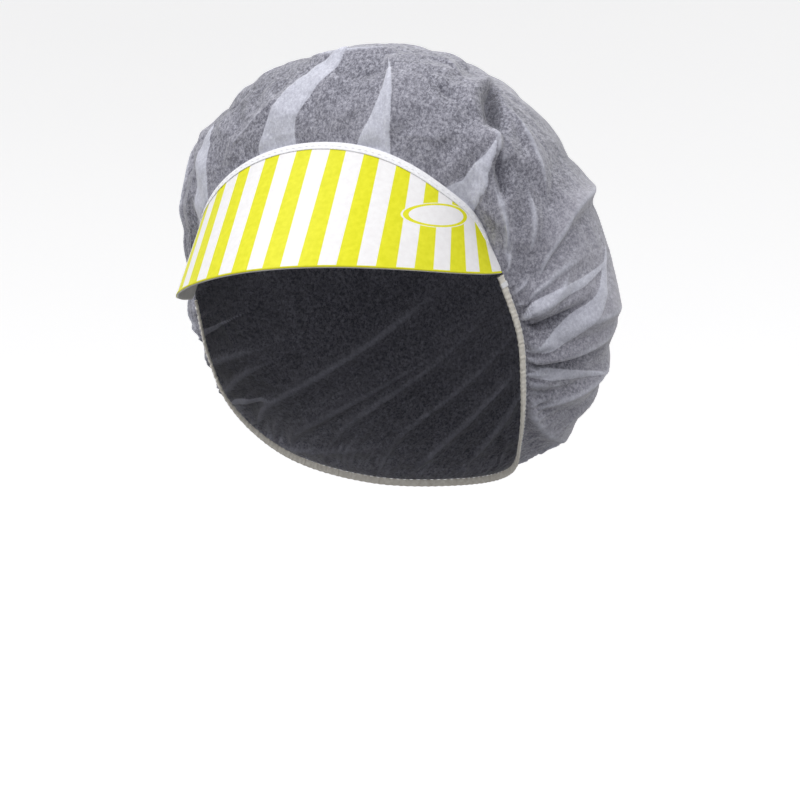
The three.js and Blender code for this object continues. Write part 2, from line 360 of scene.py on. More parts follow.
FRONT_BANDS = [
    band((-14, 0), (-5, 0.34), (24, 0.68), 9.6, 7.3, 6.8, 5.6),
    band((30, 0), (44, 0.34), (60, 0.67), 8.2, 5.2, 2.9, 1.1),
    band((66, -0.05), (97, 0.19), (127, 0.41), 8.6, 6.4, 4.4, 2.4),
    band((-68, 0), (-71, 0.21), (-84, 0.42), 7.0, 7.0, 6.0, 4.2),
]
SIDE_BANDS = [
    band((127, 0), (159, 0.21), (222, 0.43), 0.6, 2.4, 3.0, 2.2),
    band((140, 0), (179, 0.21), (212, 0.43), 0.8, 3.2, 4.2, 3.4),
    band((151, 0), (183, 0.12), (226, 0.23), 0.8, 2.6, 2.8, 2.0),
]
SIDE_RIDGES = [
    ridge((113, 0), (130, 0.43), (208, 0.77), 4.5, 16, 6),
    ridge((124, 0), (151, 0.21), (196, 0.37), 4.0, 10, 5),
    ridge((132, 0.1), (188, 0.42), (262, 0.56), 6.0, 17, 7),
    ridge((109, 0.14), (120, 0.31), (149, 0.42), 3.0, 10, 4),
    ridge((178, 0.62), (174, 0.5), (167, 0.36), 3.0, 12, 6),
    ridge((151, 0.4), (141, 0.27), (120, 0.08), 3.0, 9, 4),
    ridge((158, 0), (202, 0.05), (250, 0.12), 4.0, 13, 6),
    ridge((134, 0.03), (180, 0.22), (230, 0.36), 5.0, 17, 11),
]
SIDE_CREASES = [
    ridge((196, 0.71), (166, 0.6), (142, 0.45), -7, 7, 12),
    ridge((127, 0.38), (120, 0.29), (116, 0.19), -3.5, 5, 7),
    ridge((132, 0.02), (161, 0.16), (192, 0.3), -5, 5, 11),
    ridge((146, 0.01), (179, 0.13), (215, 0.26), -4, 5, 9),
]
FRONT_RIDGES = [
    ridge((-49, 0.06), (-32, 0.18), (-10, 0.36), 2.2, 5, 9),
    ridge((5, 0.08), (7, 0.2), (12, 0.38), 1.0, 4, 7),
    ridge((45, 0.12), (58, 0.16), (77, 0.22), 1.2, 5, 4),
    ridge((38, 0.05), (46, 0.36), (61, 0.72), 2.0, 4, 18),
    ridge((-30, 0.72), (20, 0.62), (90, 0.8), 3.0, 18, 10),
    ridge((-96, 0.36), (-72, 0.59), (-30, 0.76), 2.5, 20, 14),
]
# Where the bag stands fuller (or, below nought, slacker) than even: a point, how far round it
# and by how much.
FULLNESS = [
    ((-40, -25, 92), 55, -4.5),
    ((-74, -30, 76), 26, 5),
    ((-84, 0, -34), 70, -4),
    ((-84, -10, 30), 50, -4),
    ((84, 20, -10), 56, 6),
    ((66, 40, -62), 44, 4),
]

# How strongly gathers sweep back, at some distances along the hem from the peak's corner.
SWEEP_FROM_CORNER = (0, 20, 50, 100, 174)
SWEEP = (40, 180, 270, 160, 0)
GATHERS_CLEAR_CORNER = 3


def sweep_back(place):
    """How far gathers run towards the nape, in millimetres of rim for each share of rise."""
    along_hem = place - SEAM_HALF
    from_corner = min(along_hem, HEM_LENGTH - along_hem)
    sweep = np.interp(from_corner, SWEEP_FROM_CORNER, SWEEP)
    return sweep if along_hem < HEM_LENGTH / 2 else -sweep


def gathers(rng, spacing, reach, height, width, lean):
    """Random ridges that fan out from the hem. Each argument after rng is a (least, most) pair."""
    ridges = []
    place = SEAM_HALF + GATHERS_CLEAR_CORNER
    while place < SEAM_HALF + HEM_LENGTH - GATHERS_CLEAR_CORNER:
        end, rise, near, drift = (rng.uniform(*pair) for pair in (reach, height, width, lean))
        drift += end * sweep_back(place)
        far = near * rng.uniform(0.35, 0.8)
        if rng.random() < 0.5:
            near, far = far, near
        ridges.append([
            (place, 0, 0.2 * rise, 1.2, 1.2),
            (place + 0.25 * drift, 0.25 * end, rise, 0.6 * near, 0.6 * far),
            (place + 0.6 * drift, 0.6 * end, 0.9 * rise, near, far),
            (place + drift, end, 0, 1.3 * near, 1.3 * far),
        ])
        place += rng.uniform(*spacing)
    return ridges


def wanders(rng, count):
    """Random soft crumples all over the crown."""
    ridges = []
    for _ in range(count):
        place, share = rng.uniform(0, RIM_LENGTH), rng.uniform(0.15, 0.85)
        turn, half = rng.normal(0, 16), rng.uniform(0.05, 0.12)
        rise = rng.uniform(-1.6, 1.8)
        near, far = rng.uniform(4, 13, 2)
        ridges.append([
            (place - turn, share - half, 0, near, far),
            (place, share, rise, near, far),
            (place + turn * rng.uniform(0.4, 1.4), share + half, 0, near, far),
        ])
    return ridges


def fold_line(stations):
    """The fold's line through its stations, its direction, and its other numbers along it."""
    rows = np.array(stations, float)
    spots = crown_at(rows[:, 0], rows[:, 1])
    fine, run = catmull_rom(np.hstack([spots, rows[:, 2:]]))
    keep = np.interp(np.arange(0, run[-1], FOLD_SPACING), run, np.arange(len(run))).astype(int)
    fine = fine[keep]
    return fine[:, :3], unit(np.gradient(fine[:, :3], axis=0)), fine[:, 3:]


HEAD_MIDDLE = (0.0, 8.0, 0.0)
RIDGE_REACH = 26
BAND_REACH = 14
FAR_FROM_CREST = 9.0
CREST_ROUNDING = 0.4
# CREST_FADE, CREST_FULL_RISE and CREASE_HIDES_CREST only shape the painted highlight along ridge crests.
CREST_FADE = 3.5
CREST_FULL_RISE = 3.2
CREASE_CLEARS_AT = 3.5
CREASE_HIDES_CREST = 3
BAND_EDGE_INSET = 0.6


def beside(point, line, along, reach):
    """Which points lie within reach of a line, how far to which side of it, and where along it."""
    low, high = line.min(0) - reach, line.max(0) + reach
    near = np.flatnonzero(((point > low) & (point < high)).all(-1))
    gap = ((point[near, None] - line[None]) ** 2).sum(-1)
    at = gap.argmin(1)
    offset = point[near] - line[at]
    outward = unit(point[near] - np.array(HEAD_MIDDLE))
    offset = offset - outward * (offset * outward).sum(-1, keepdims=True)
    ahead = (offset * along[at]).sum(-1)
    past_end = ((at == 0) & (ahead < 0)) | ((at == len(line) - 1) & (ahead > 0))
    across = np.sqrt(np.maximum((offset ** 2).sum(-1) - np.where(past_end, 0, ahead) ** 2, 0))
    side = np.sign((np.cross(outward, along[at]) * offset).sum(-1))
    return near, across * side, at


def raise_ridges(point, ridges):
    """Height of the ridges and creases over the smooth crown, and distance to the nearest crest."""
    relief, sink = np.zeros(len(point)), np.zeros(len(point))
    crest = np.full(len(point), FAR_FROM_CREST)
    for stations in ridges:
        line, along, numbers = fold_line(stations)
        rise, left, right = numbers.T
        near, off, at = beside(point, line, along, RIDGE_REACH)
        width = np.where(off > 0, left[at], right[at])
        tent = np.clip(1 - np.hypot(off, CREST_ROUNDING) / np.maximum(width, 0.5), 0, 1)
        tent = tent * (0.55 + 0.45 * tent)
        if max(rise) > 0:
            relief[near] = np.maximum(relief[near], rise[at] * tent)
            # A low ridge's crest counts as farther off, which fades its painted highlight.
            fade = CREST_FADE * np.clip(1 - rise[at] / CREST_FULL_RISE, 0, 1)
            crest[near] = np.minimum(crest[near], np.abs(off) + fade)
        else:
            sink[near] = np.minimum(sink[near], rise[at] * tent)
    sunk = smooth(-sink / CREASE_CLEARS_AT)
    return relief * (1 - sunk) + sink, crest + CREASE_HIDES_CREST * sunk


def lay_bands(point, bands):
    """Signed distance in from the edge of the nearest band of doubled cloth."""
    edge = np.full(len(point), -FAR_FROM_CREST)
    for stations in bands:
        line, along, numbers = fold_line(stations)
        near, off, at = beside(point, line, along, BAND_REACH)
        edge[near] = np.maximum(edge[near], numbers[at, 0] - BAND_EDGE_INSET - np.abs(off))
    return edge


CROWN_GRID = (380, 96)
CROWN_FINENESS = 2
SEAM_COLUMN_SHARE = 0.27
ROW_CROWDING = 1.15
FOLDS_CLEAR_RIM = 0.03
FULLNESS_CLEARS_RIM = 0.1
FINE_CLEARS_RIM = 0.012
BANDS_CLEAR_RIM = 0.07
BAND_STEP = 0.8
BAND_STEP_HALF_WIDTH = 0.9
FINE_CREST_SHOWS = 1.1


def crown_spots(fineness):
    """Places round the rim, closer together along the hem, and shares up to just below the top."""
    columns, rows = CROWN_GRID[0] * fineness, CROWN_GRID[1] * fineness
    half, hem_share = SEAM_COLUMN_SHARE / 2, 1 - SEAM_COLUMN_SHARE
    knots = (0, half, half + hem_share, 1)
    places = (0, SEAM_HALF, SEAM_HALF + HEM_LENGTH, RIM_LENGTH)
    place = np.interp(np.arange(columns) / columns, knots, places)
    return place, (np.arange(rows) / rows) ** ROW_CROWDING


def surface_normals(point):
    """Outward normals of a grid whose columns close round and whose rows end at the top."""
    along = np.roll(point, -1, 0) - np.roll(point, 1, 0)
    return unit(np.cross(along, np.gradient(point, axis=1)))


def crown_folds():
    """The folds that the coarse crown can carry: those listed, then random ones."""
    rng = np.random.default_rng(11)
    ridges = SIDE_RIDGES + SIDE_CREASES + FRONT_RIDGES + mirrored(SIDE_RIDGES)
    ridges += gathers(rng, (16, 28), (0.3, 0.62), (2.2, 4.6), (8, 16), (-18, 18))
    ridges += gathers(rng, (7, 12), (0.1, 0.26), (1.0, 2.2), (4, 8), (-8, 8))
    ridges += wanders(rng, 46)
    return ridges


def fine_gathers():
    """Small puckers close to the hem, which only the fine crown can carry."""
    return gathers(np.random.default_rng(5), (2.4, 4.4), (0.04, 0.17), (0.8, 1.9), (1.2, 2.8), (-5, 5))


def crown_form(fineness):
    """The folded crown as a grid, with its smooth form, its normals and the distance to a crest."""
    place, share = crown_spots(fineness)
    smooth_form = crown_at(*np.meshgrid(place, share, indexing="ij"))
    normal = surface_normals(smooth_form)
    relief, crest = raise_ridges(smooth_form.reshape(-1, 3), crown_folds())
    relief = relief.reshape(smooth_form.shape[:2]) * smooth(share / FOLDS_CLEAR_RIM)
    for centre, reach, height in FULLNESS:
        away = np.linalg.norm(smooth_form - np.array(centre, float), axis=-1)
        relief = relief + height * smooth(1 - away / reach) * smooth(share / FULLNESS_CLEARS_RIM)
    return smooth_form + normal * relief[..., None], smooth_form, normal, crest


def refine(grid):
    """Doubles a grid's columns, which close round, and its rows, which don't."""
    between = (-np.roll(grid, 1, 0) + 9 * grid + 9 * np.roll(grid, -1, 0) - np.roll(grid, -2, 0)) / 16
    wide = np.stack([grid, between], 1).reshape(-1, *grid.shape[1:])
    padded = np.concatenate([wide[:, :1], wide, wide[:, -1:], wide[:, -1:]], 1)
    between = (-padded[:, :-3] + 9 * padded[:, 1:-2] + 9 * padded[:, 2:-1] - padded[:, 3:]) / 16
    return np.stack([wide, between], 2).reshape(len(wide), -1, 3)


SETTLE_FRAMES = 16
SETTLE_FULLNESS = 0.05
SETTLE_HOLD = 0.12
SETTLE_HELD_ROWS = 2
SETTLE_LIMIT = 5.0


def settle(grid):
    """Movement of the coarse crown as its cloth, cut a little full, buckles into wrinkles."""
    columns, rows = grid.shape[:2]
    piece = mesh_piece("settling_cloth", grid.reshape(-1, 3), grid_faces(columns, rows, wrap_rows=True))
    held = piece.vertex_groups.new(name="held")
    row = np.tile(np.arange(rows), columns)
    held.add(np.flatnonzero(row < SETTLE_HELD_ROWS).tolist(), 1.0, "REPLACE")
    held.add(np.flatnonzero(row >= SETTLE_HELD_ROWS).tolist(), SETTLE_HOLD, "REPLACE")
    cloth = piece.modifiers.new("Cloth", "CLOTH")
    fabric = cloth.settings
    fabric.vertex_group_mass = "held"
    fabric.pin_stiffness = 1.0
    fabric.shrink_min = -SETTLE_FULLNESS
    fabric.quality = 5
    fabric.mass = 0.02
    fabric.air_damping = 2
    fabric.tension_stiffness = 15
    fabric.compression_stiffness = 15
    fabric.shear_stiffness = 5
    fabric.bending_stiffness = 0.02
    fabric.effector_weights.gravity = 0
    cloth.collision_settings.use_collision = False
    cloth.collision_settings.use_self_collision = False
    for frame_number in range(1, SETTLE_FRAMES + 1):
        bpy.context.scene.frame_set(frame_number)
    settled = piece.evaluated_get(bpy.context.evaluated_depsgraph_get()).to_mesh()
    found = np.empty(len(settled.vertices) * 3, np.float32)
    settled.vertices.foreach_get("co", found)
    bpy.context.scene.frame_set(1)
    bpy.data.objects.remove(piece)
    moved = found.reshape(grid.shape) / MM - grid
    for _ in range(2):
        moved = (np.roll(moved, 1, 0) + 2 * moved + np.roll(moved, -1, 0)) / 4
        moved[:, 1:-1] = (moved[:, :-2] + 2 * moved[:, 1:-1] + moved[:, 2:]) / 4
    length = np.linalg.norm(moved, axis=-1, keepdims=True)
    return moved * np.minimum(1, SETTLE_LIMIT / np.maximum(length, 1e-9))


def crown_mesh():
    """Points, faces and attributes of the crown."""
    point, smooth_form, normal, crest = crown_form(CROWN_FINENESS)
    point = point + refine(settle(crown_form(1)[0]))
    _, share = crown_spots(CROWN_FINENESS)
    columns, rows = point.shape[:2]
    spots = smooth_form.reshape(-1, 3)
    edge = lay_bands(spots, FRONT_BANDS + SIDE_BANDS + mirrored(SIDE_BANDS[::2]))
    fine, fine_crest = raise_ridges(spots, fine_gathers())
    # The crests of the fine puckers also take the painted highlight.
    crest = np.minimum(crest, fine_crest - FINE_CREST_SHOWS)
    step = BAND_STEP * smooth((edge / BAND_STEP_HALF_WIDTH + 1) / 2).reshape(columns, rows)
    fine = fine.reshape(columns, rows) * smooth(share / FINE_CLEARS_RIM)
    fine = fine + step * smooth(share / BANDS_CLEAR_RIM)
    point = point + surface_normals(point) * fine[..., None]
    faces = grid_faces(columns, rows, wrap_rows=True)
    top = columns * rows
    faces += [[i * rows + rows - 1, ((i + 1) % columns) * rows + rows - 1, top] for i in range(columns)]
    # crest and lift drive the material's painted highlights and painted shade; band_edge marks the doubled
    # bands.
    attributes = {
        "band_edge": np.append(edge, -FAR_FROM_CREST),
        "crest": np.append(crest, FAR_FROM_CREST),
        "lift": np.append(((point - smooth_form) * normal).sum(-1), 0),
    }
    return np.vstack([point.reshape(-1, 3), point[:, -1].mean(0)]), faces, attributes


# ---- materials ---------------------------------------------------------------------

def srgb(r, g, b):
    """Linear colour of an sRGB one given from 0 to 255."""
    channels = [c / 255 for c in (r, g, b)]
    return tuple(c / 12.92 if c <= 0.04045 else ((c + 0.055) / 1.055) ** 2.4 for c in channels) + (1,)


class Nodes:
    """Short calls for building one material's node tree."""

    def __init__(self, name, roughness, sheen=0.0):
        self.material = bpy.data.materials.new(name)
        self.material.use_nodes = True
        self.tree = self.material.node_tree
        self.shader = self.tree.nodes["Principled BSDF"]
        self.shader.inputs["Roughness"].default_value = roughness
        self.shader.inputs["Sheen Weight"].default_value = sheen
        self.place = self.node("ShaderNodeTexCoord").outputs["Object"]

    def node(self, kind, **settings):
        node = self.tree.nodes.new(kind)
        for key, value in settings.items():
            setattr(node, key, value)
        return node

    def link(self, source, target):
        if isinstance(source, (int, float, tuple)):
            target.default_value = source
        else:
            self.tree.links.new(source, target)

    def math(self, operation, a, b=0.0, c=0.0):
        node = self.node("ShaderNodeMath", operation=operation)
        for value, socket in zip((a, b, c), node.inputs):
            self.link(value, socket)
        return node.outputs[0]

    def attribute(self, name):
        return self.node("ShaderNodeAttribute", attribute_name=name).outputs["Fac"]

    def noise(self, scale, detail=3.0, roughness=0.5, stretch=(1, 1, 1), turn=(0, 0, 0), distortion=0.0):
        mapping = self.node("ShaderNodeMapping")
        self.link(self.place, mapping.inputs["Vector"])
        mapping.inputs["Scale"].default_value = stretch
        mapping.inputs["Rotation"].default_value = turn
        node = self.node("ShaderNodeTexNoise")
        self.link(mapping.outputs[0], node.inputs["Vector"])
        node.inputs["Scale"].default_value = scale
        node.inputs["Detail"].default_value = detail
        node.inputs["Roughness"].default_value = roughness
        node.inputs["Distortion"].default_value = distortion
        return node.outputs["Fac"]

    def remap(self, value, low, high, to_low=0.0, to_high=1.0):
        node = self.node("ShaderNodeMapRange")
        for source, key in ((value, "Value"), (low, "From Min"), (high, "From Max"),
                            (to_low, "To Min"), (to_high, "To Max")):
            self.link(source, node.inputs[key])
        return node.outputs[0]

    def mix(self, share, a, b):
        node = self.node("ShaderNodeMix", data_type="RGBA")
        self.link(share, node.inputs["Factor"])
        self.link(a, node.inputs["A"])
        self.link(b, node.inputs["B"])
        return node.outputs["Result"]

    def finish(self, colour, height=None, strength=0.5, distance=0.0003):
        self.link(colour, self.shader.inputs["Base Color"])
        if height is not None:
            bump = self.node("ShaderNodeBump")
            bump.inputs["Strength"].default_value = strength
            bump.inputs["Distance"].default_value = distance
            self.link(height, bump.inputs["Height"])
            self.link(bump.outputs[0], self.shader.inputs["Normal"])
        return self.material


def fibres(nodes):
    """Mottled web of fine fibres laid in several directions."""
    web = None
    for turn, size in (((0.3, 0.2, 0.4), 1.0), ((1.2, 0.5, 2.0), 1.13), ((2.1, 1.4, 0.9), 0.91)):
        strand = nodes.noise(1100 * size, detail=2, stretch=(1, 0.2, 0.6), turn=turn, distortion=0.8)
        web = strand if web is None else nodes.math("MAXIMUM", web, strand)
    clump = nodes.noise(700, detail=5, roughness=0.75)
    return nodes.math("MULTIPLY_ADD", clump, 1.1, web)


def crown_material():
    """Thin web, mottled: grey where a single ply and lighter where it doubles in bands, with painted shade
    where it lies low or sinks into a crease and painted highlights where it stands up and along the crests
    of its ridges.
    """
    nodes = Nodes("nonwoven_web", roughness=0.85, sheen=0.35)
    nodes.shader.inputs["Sheen Roughness"].default_value = 0.45
    web = fibres(nodes)
    mottle = nodes.remap(web, 0.98, 1.38)
    # The darkest pair of colours is painted shade for cloth sunk into creases and hollows.
    painted_fold_shade = nodes.mix(mottle, srgb(62, 62, 72), srgb(118, 118, 130))
    single = nodes.mix(mottle, srgb(84, 84, 96), srgb(174, 174, 186))
    # The pair on the next line is painted light for cloth that stands up. The pair after it is the colour of
    # doubled cloth, also used for the painted highlight on crests.
    painted_lit_cloth = nodes.mix(mottle, srgb(138, 137, 149), srgb(184, 183, 195))
    several = nodes.mix(mottle, srgb(186, 187, 201), srgb(212, 214, 226))
    broad = nodes.noise(16, detail=3, roughness=0.6)
    rise = nodes.attribute("lift")
    # Painted shade: the single ply darkens where the cloth sinks more than 0.6 mm below its smooth form.
    single = nodes.mix(nodes.remap(rise, -0.6, -3.4, 0, 0.8), single, painted_fold_shade)
    # Painted light and shade: the higher the cloth stands, the lighter it is painted, with a broad random
    # tone added.
    lift = nodes.remap(rise, -1.8, 7.5)
    lift = nodes.math("ADD", lift, nodes.remap(broad, 0.3, 0.75, -0.25, 0.3))
    colour = nodes.mix(nodes.remap(lift, 0, 1), single, painted_lit_cloth)
    # Painted highlight along the crests of ridges, in the colour of doubled cloth.
    crest = nodes.remap(nodes.attribute("crest"), 1.9, 0.1, 0, 0.85)
    colour = nodes.mix(crest, colour, several)
    doubled = nodes.remap(nodes.attribute("band_edge"), -0.15, 0.2)
    doubled = nodes.math("MULTIPLY", doubled, nodes.remap(broad, 0.25, 0.8, 0.72, 1.0))
    colour = nodes.mix(doubled, colour, several)
    return nodes.finish(colour, web, strength=0.4)


# The plain oval's place and size: across in stripe pitches from the middle, up in millimetres.
PLAIN_OVAL_STRIPE = 4.3
PLAIN_OVAL_HALF_STRIPES = 1.15
PLAIN_OVAL_RISE = 27.0
PLAIN_OVAL_HALF_RISE = 6.0
# Its yellow line's middle and half breadth, by the square of the share of the way out.
OVAL_LINE = (0.78, 0.13)
# Half a yellow stripe's breadth, in pitches, at the free edge and at the seam.
HALF_STRIPE = (0.262, 0.232)
LAST_STRIPE = 6.4
BORDER = 0.8


def print_material():
    """Yellow stripes across white, a thin yellow border on the free edge and a plain oval."""
    nodes = Nodes("striped_print", roughness=0.5)
    nodes.shader.inputs["Specular IOR Level"].default_value = 0.25
    across = nodes.attribute("stripe")
    up = nodes.attribute("ruling_mm")
    phase = nodes.math("ABSOLUTE", nodes.math("SUBTRACT", across, nodes.math("ROUND", across)))
    half = nodes.remap(nodes.attribute("ruling_share"), 0, 1, *HALF_STRIPE)
    yellow_here = nodes.remap(nodes.math("SUBTRACT", half, phase), -0.008, 0.008)
    inside = nodes.math("LESS_THAN", nodes.math("ABSOLUTE", across), LAST_STRIPE)
    aside = nodes.math("SUBTRACT", across, PLAIN_OVAL_STRIPE)
    aside = nodes.math("DIVIDE", aside, PLAIN_OVAL_HALF_STRIPES)
    above = nodes.math("SUBTRACT", up, PLAIN_OVAL_RISE)
    above = nodes.math("DIVIDE", above, PLAIN_OVAL_HALF_RISE)
    oval = nodes.math("ADD", nodes.math("MULTIPLY", aside, aside), nodes.math("MULTIPLY", above, above))
    outside_oval = nodes.remap(oval, 0.97, 1.03)
    border = nodes.remap(up, BORDER + 0.15, BORDER)
    off_line = nodes.math("ABSOLUTE", nodes.math("SUBTRACT", oval, OVAL_LINE[0]))
    ring = nodes.math("LESS_THAN", off_line, OVAL_LINE[1])
    yellow = nodes.math("MULTIPLY", nodes.math("MULTIPLY", yellow_here, inside), outside_oval)
    yellow = nodes.math("MAXIMUM", yellow, ring)
    yellow = nodes.math("MAXIMUM", yellow, border)
    grain = nodes.noise(420, detail=4)
    ink = nodes.mix(nodes.remap(grain, 0.3, 0.7), srgb(215, 214, 14), srgb(226, 224, 36))
    paper = nodes.mix(nodes.remap(grain, 0.3, 0.7), srgb(231, 229, 231), srgb(238, 237, 239))
    return nodes.finish(nodes.mix(yellow, paper, ink), grain, strength=0.08)


def plain_material(name, low, high, scale, roughness, sheen=0.0):
    """One colour with a fine grain between its low and high shades."""
    nodes = Nodes(name, roughness=roughness, sheen=sheen)
    grain = nodes.noise(scale, detail=4, roughness=0.6)
    colour = nodes.mix(nodes.remap(grain, 0.3, 0.7), srgb(*low), srgb(*high))
    return nodes.finish(colour, grain, strength=0.3)


# ---- pieces ------------------------------------------------------------------------

TAPE_END = 0.985
TAPE_TAPER = 0.05
TAPE_END_SIZE = 0.4
HEM_HALF_DEPTH = 0.62
HEM_HALF_HEIGHT = 1.55
HEM_CORNERS = 0.7
HEM_PUCKERS = [(2.3, 0.10, 0.3), (1.7, 0.07, 1.9), (3.9, 0.07, 4.0)]  # Wavelength, height, phase.
ELASTIC_HALF = (0.3, 1.4)
BARTACK_PASSES = 13
BARTACK_HALF_HEIGHT = 1.7
BARTACK_OUT = 0.8
BARTACK_PITCH = 0.17
BARTACK_THREAD = 0.14
BARTACK_SHARE = 0.012
THREAD_STEPS = 7
THREAD_SIDES = 8


def make_peak_layer(name, back, front, columns, rows):
    """One layer of the peak: a thin closed plate between two offsets from its middle surface."""
    u, _ = evenly(free_edge, columns)
    share = np.linspace(0, 1, rows)
    length = ruling_length(u)
    up_ruling = length[:, None] * share
    middle = free_edge(u)[:, None] + ruling(u)[:, None] * up_ruling[..., None]
    normal = peak_normal(u)[:, None]
    points = np.concatenate([middle + front * normal, (middle + back * normal)[:, ::-1]], axis=1)
    faces = grid_faces(columns, 2 * rows, wrap_columns=True)
    for end in (0, columns - 1):
        faces += [[end * 2 * rows + k for k in (i, i + 1, 2 * rows - 2 - i, 2 * rows - 1 - i)]
                  for i in range(rows - 1)]
    both = np.concatenate([share, share[::-1]])
    attributes = {
        "stripe": np.repeat(u * PEAK_HALF_LENGTH / STRIPE_PITCH, 2 * rows),
        "ruling_share": np.tile(both, columns),
        "ruling_mm": (length[:, None] * both[None, :]).ravel(),
    }
    return face_outward(mesh_piece(name, points.reshape(-1, 3), faces, attributes))


def strip_along(name, point, normal, across, outline):
    """A closed strip: the outline, in (out, up) millimetres, at each station of a line."""
    outline = np.asarray(outline, float)
    if outline.ndim == 2:
        outline = np.repeat(outline[None], len(point), 0)
    points = point[:, None] + normal[:, None] * outline[..., :1] + across[:, None] * outline[..., 1:]
    count, size = points.shape[:2]
    faces = grid_faces(count, size, wrap_columns=True)
    faces += [list(range(size)), [(count - 1) * size + k for k in range(size)]]
    return face_outward(mesh_piece(name, points.reshape(-1, 3), faces))


def make_seam_tape():
    """Binding folded over the seam's edge, open towards the peak and narrower at its two ends."""
    u, _ = evenly(seam, 420, TAPE_END)
    point, normal, across = seam_frame(u)
    outline = [(0.95, -3.0), (1.05, -2.7), (1.05, 0.3), (0.8, 0.8), (0.1, 1.0), (-0.5, 0.8), (-0.85, 0.3),
               (-0.85, -3.3), (-0.6, -3.3), (-0.6, 0.2), (0.66, 0.2), (0.66, -3.0)]
    taper = TAPE_END_SIZE + (1 - TAPE_END_SIZE) * smooth((TAPE_END - np.abs(u)) / TAPE_TAPER)
    return strip_along("seam_binding", point, normal, across, np.array(outline) * taper[:, None, None])


def make_hem_casing():
    """The puckered sleeve folded round the elastic."""
    t = np.linspace(0.0, 1.0, 1100)
    point, normal, across = hem_frame(t)
    run = t * HEM_LENGTH
    puckers = sum(rise * np.sin(2 * math.pi * run / wave + phase) for wave, rise, phase in HEM_PUCKERS)
    height = HEM_HALF_HEIGHT + 0.1 * np.sin(2 * math.pi * run / 3.1 + 0.8)
    angle = np.linspace(0, 2 * math.pi, 17)[:-1]
    out = HEM_HALF_DEPTH * signed_power(np.cos(angle), HEM_CORNERS) + puckers[:, None]
    up = height[:, None] * signed_power(np.sin(angle), HEM_CORNERS)
    return strip_along("gathered_hem", point, normal, across, np.stack([out, up], -1))


def make_elastic():
    point, normal, across = hem_frame(np.linspace(0, 1, 500))
    thick, high = ELASTIC_HALF
    outline = [(thick, -high), (thick, high), (-thick, high), (-thick, -high)]
    return strip_along("elastic_band", point, normal, across, outline)


def thread_along(name, point, normal, across, pitch, share, radius):
    """A row of separate stitches, each a short rounded dash that dips in at both ends."""
    run = run_along(point)
    points, faces = [], []
    steps, sides = THREAD_STEPS, THREAD_SIDES
    angle = np.linspace(0, 2 * math.pi, sides + 1)[:-1]
    for k in range(int(run[-1] / pitch)):
        s = (k + 0.5 + share * np.linspace(-0.5, 0.5, steps)) * pitch
        here, out, up = (interpolate(s, run, v) for v in (point, normal, across))
        bow = np.cos(np.linspace(-math.pi / 2, math.pi / 2, steps))
        here = here + out * (bow * radius * 1.3 - radius)[:, None]
        thick = radius * (0.35 + 0.65 * np.sqrt(bow.clip(0)))
        ring = (here[:, None] + out[:, None] * (thick[:, None] * np.cos(angle))[..., None]
                + up[:, None] * (thick[:, None] * np.sin(angle))[..., None])
        base = len(points) * steps * sides
        points.append(ring.reshape(-1, 3))
        faces += [[base + i for i in face] for face in grid_faces(steps, sides, wrap_columns=True)]
        faces += [[base + i for i in range(sides)],
                  [base + (steps - 1) * sides + i for i in range(sides)]]
    return face_outward(mesh_piece(name, np.vstack(points), faces))


def make_seam_thread():
    u, _ = evenly(seam, 600, 0.97)
    point, normal, across = seam_frame(u)
    line = point + 1.05 * normal - 1.4 * across
    return thread_along("seam_stitches", line, normal, across, pitch=3.0, share=0.78, radius=0.2)


def make_hem_thread():
    point, normal, across = hem_frame(np.linspace(0.01, 0.99, 900))
    line = point + 0.75 * normal + 1.0 * across
    return thread_along("hem_stitches", line, normal, across, pitch=2.6, share=0.75, radius=0.15)


def make_bartack(name, t):
    """A zigzag of thread sewn across the end of the elastic."""
    point, normal, across = (v[0] for v in hem_frame(np.array([t])))
    along = np.cross(across, normal)
    passes = np.arange(BARTACK_PASSES)[:, None]
    zigzag = point + BARTACK_OUT * normal + BARTACK_HALF_HEIGHT * across * (-1.0) ** passes
    zigzag = zigzag + BARTACK_PITCH * along * (passes - BARTACK_PASSES / 2)
    line = catmull_rom(zigzag)[0][::8]
    forward = unit(np.gradient(line, axis=0))
    side = unit(np.cross(forward, normal))
    angle = np.linspace(0, 2 * math.pi, THREAD_SIDES + 1)[:-1, None]
    ring = line[:, None] + BARTACK_THREAD * (np.cos(angle) * normal + np.sin(angle) * side[:, None])
    count, sides = ring.shape[:2]
    faces = grid_faces(count, sides, wrap_columns=True)
    faces += [list(range(sides)), [(count - 1) * sides + k for k in range(sides)]]
    return face_outward(mesh_piece(name, ring.reshape(-1, 3), faces))


def make_crown():
    points, faces, attributes = crown_mesh()
    return mesh_piece("crown_cloth", points, faces, attributes)


# ---- the object --------------------------------------------------------------------

CROWN = crown_material()
PRINT = print_material()
CARD = plain_material("white_card", (226, 224, 219), (238, 236, 232), 300, 0.75)
TAPE = plain_material("white_binding", (228, 228, 234), (246, 246, 249), 700, 0.8, sheen=0.2)
HEM = plain_material("cream_hem", (212, 206, 196), (238, 234, 226), 500, 0.85, sheen=0.2)
RUBBER = plain_material("cream_elastic", (205, 197, 180), (226, 219, 204), 900, 0.7)
THREAD = plain_material("white_thread", (232, 232, 236), (248, 248, 250), 1500, 0.6)


def dress(piece, material, node, body=None):
    """Gives a piece its material, hides the CAD node that it stands for, and sets it to ride a body or bakes
    its transform.
    """
    piece.data.materials.append(material)
    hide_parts(node)
    if body:
        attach(piece, body)
    else:
        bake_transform(piece)
    return piece


